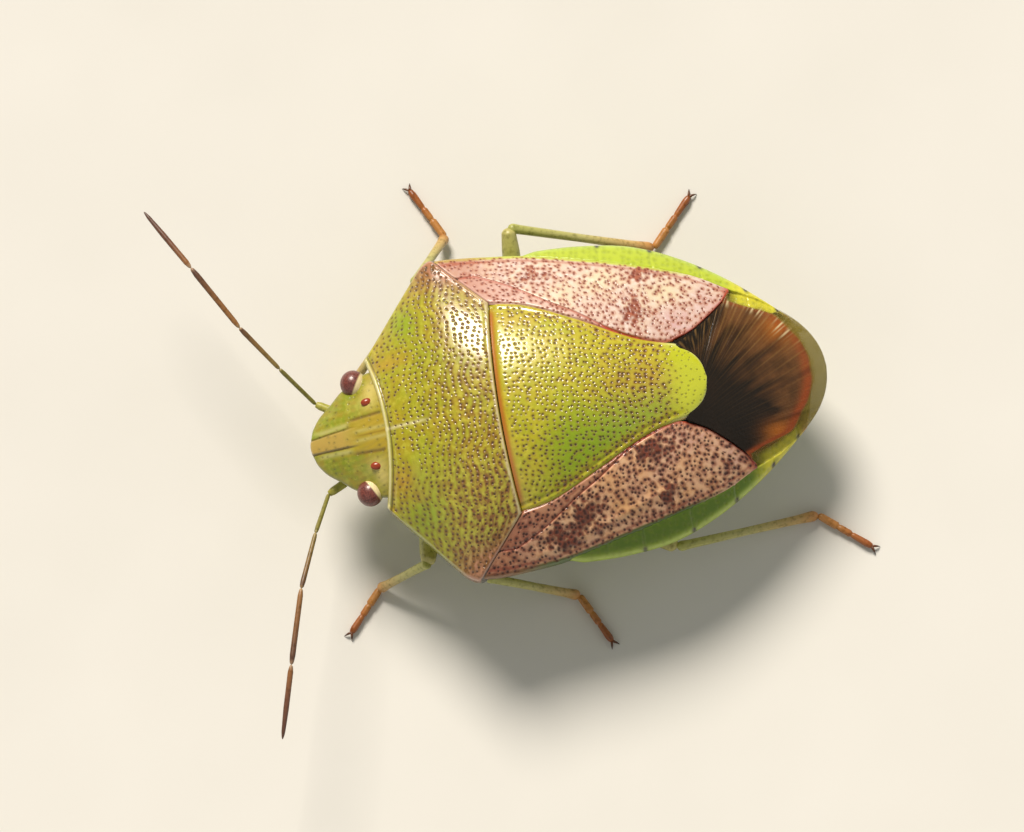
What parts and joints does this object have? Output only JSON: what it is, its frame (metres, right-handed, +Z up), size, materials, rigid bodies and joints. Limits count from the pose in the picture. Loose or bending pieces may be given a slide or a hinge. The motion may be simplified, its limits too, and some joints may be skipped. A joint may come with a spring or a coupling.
{
  "type": "shield bug",
  "caption": "Life-size still model of a green shield bug with reddish-brown wings, standing on the floor on its feet, antennae spread.",
  "frame": {"origin": "on the floor under the middle of the outline, antennae and feet counted", "axes": "+Z up; +Y towards the tail, so the head faces -Y; +X towards the insect's own left side"},
  "size_m": [0.0104, 0.0128, 0.0038],
  "materials": {
    "head_cuticle": "olive green glossy cuticle with a tan middle lobe",
    "eye": "glossy maroon compound eye",
    "shield_cuticle": "yellow green glossy cuticle with brown pits",
    "corium_cuticle": "pinkish brown leathery wing base with dark pits",
    "wing_membrane": "smoky brown clear membrane with raised veins",
    "belly_cuticle": "pale green cuticle",
    "leg_cuticle": "pale olive green cuticle with fine pale hairs",
    "foot_cuticle": "orange brown cuticle with fine hairs",
    "antenna_cuticle": "olive to brown cuticle with pale joints"
  },
  "bodies": {
    "root": {"abdomen": "belly_cuticle", "antenna_left_1": "antenna_cuticle", "antenna_left_2": "antenna_cuticle", "antenna_left_3": "antenna_cuticle", "antenna_left_4": "antenna_cuticle", "antenna_left_5": "antenna_cuticle", "antenna_right_1": "antenna_cuticle", "antenna_right_2": "antenna_cuticle", "antenna_right_3": "antenna_cuticle", "antenna_right_4": "antenna_cuticle", "antenna_right_5": "antenna_cuticle", "beak": "leg_cuticle", "corium_left": "corium_cuticle", "corium_right": "corium_cuticle", "coxa_fore_left": "leg_cuticle", "coxa_fore_right": "leg_cuticle", "coxa_hind_left": "leg_cuticle", "coxa_hind_right": "leg_cuticle", "coxa_mid_left": "leg_cuticle", "coxa_mid_right": "leg_cuticle", "eye_left": "eye", "eye_right": "eye", "femur_fore_left": "leg_cuticle", "femur_fore_right": "leg_cuticle", "femur_hind_left": "leg_cuticle", "femur_hind_right": "leg_cuticle", "femur_mid_left": "leg_cuticle", "femur_mid_right": "leg_cuticle", "head": "head_cuticle", "membrane_left": "wing_membrane", "membrane_right": "wing_membrane", "pronotum": "shield_cuticle", "scutellum": "shield_cuticle", "tarsus_fore_left": "foot_cuticle", "tarsus_fore_right": "foot_cuticle", "tarsus_hind_left": "foot_cuticle", "tarsus_hind_right": "foot_cuticle", "tarsus_mid_left": "foot_cuticle", "tarsus_mid_right": "foot_cuticle", "thorax": "belly_cuticle", "tibia_fore_left": "leg_cuticle", "tibia_fore_right": "leg_cuticle", "tibia_hind_left": "leg_cuticle", "tibia_hind_right": "leg_cuticle", "tibia_mid_left": "leg_cuticle", "tibia_mid_right": "leg_cuticle"}
  },
  "joints": []
}
